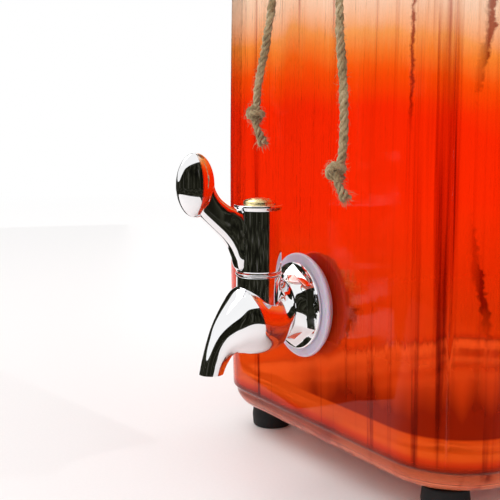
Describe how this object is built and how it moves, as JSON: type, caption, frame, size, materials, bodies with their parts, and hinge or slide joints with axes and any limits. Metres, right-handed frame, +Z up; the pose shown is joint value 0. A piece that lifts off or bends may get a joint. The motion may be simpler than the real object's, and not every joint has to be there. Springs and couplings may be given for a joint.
{
  "type": "beverage dispenser",
  "caption": "Square glass drinks jar with a chrome lever tap through its front wall, rubber feet, a wooden lid and knotted jute twine round its neck.",
  "frame": {"origin": "on the surface the jar stands on, under the middle of its outline measured without the hanging twine", "axes": "+Z up, -Y out of the front, the way the spout points, +X to the right when facing +Y"},
  "size_m": [0.1518, 0.2036, 0.293],
  "materials": {
    "jar_glass": "clear glass sprayed red and orange, fading to clear at the top",
    "tap_chrome": "mirror chrome plate",
    "cap_brass": "satin brass",
    "plain_steel": "plain stainless steel",
    "clear_silicone": "milky translucent silicone",
    "foot_rubber": "matt black rubber",
    "lid_wood": "oiled turned wood",
    "jute_twine": "rough twisted jute"
  },
  "bodies": {
    "jar": {"glass_jar": "jar_glass", "foot_front_left": "foot_rubber", "foot_front_right": "foot_rubber", "foot_back_left": "foot_rubber", "foot_back_right": "foot_rubber", "tap_body": "tap_chrome", "hex_collar": "tap_chrome", "bonnet_ring": "tap_chrome", "outer_washer": "clear_silicone", "inner_washer": "clear_silicone", "nut_washer": "plain_steel", "retaining_nut": "plain_steel", "twine_wrap": "jute_twine", "twine_tie": "jute_twine", "twine_left_end": "jute_twine", "twine_right_end": "jute_twine", "twine_left_knot": "jute_twine", "twine_right_knot": "jute_twine"},
    "lever": {"lever_handle": "tap_chrome", "handle_screw": "plain_steel", "cap_button": "cap_brass", "valve_stem": "cap_brass", "stem_o_ring_lower": "foot_rubber", "stem_o_ring_upper": "foot_rubber"},
    "lid": {"lid": "lid_wood", "lid_gasket": "clear_silicone", "lid_knob": "lid_wood", "knob_screw": "plain_steel", "knob_washer": "plain_steel"}
  },
  "joints": [
    {"name": "lever_turn", "type": "hinge", "parent": "jar", "child": "lever", "pos_m": [0, -0.07025, 0.0925], "axis": [0, 0, -1], "range_deg": [0, 90]},
    {"name": "lid_lift", "type": "slide", "parent": "jar", "child": "lid", "axis": [0, 0, 1], "range_m": [0, 0.06]}
  ]
}
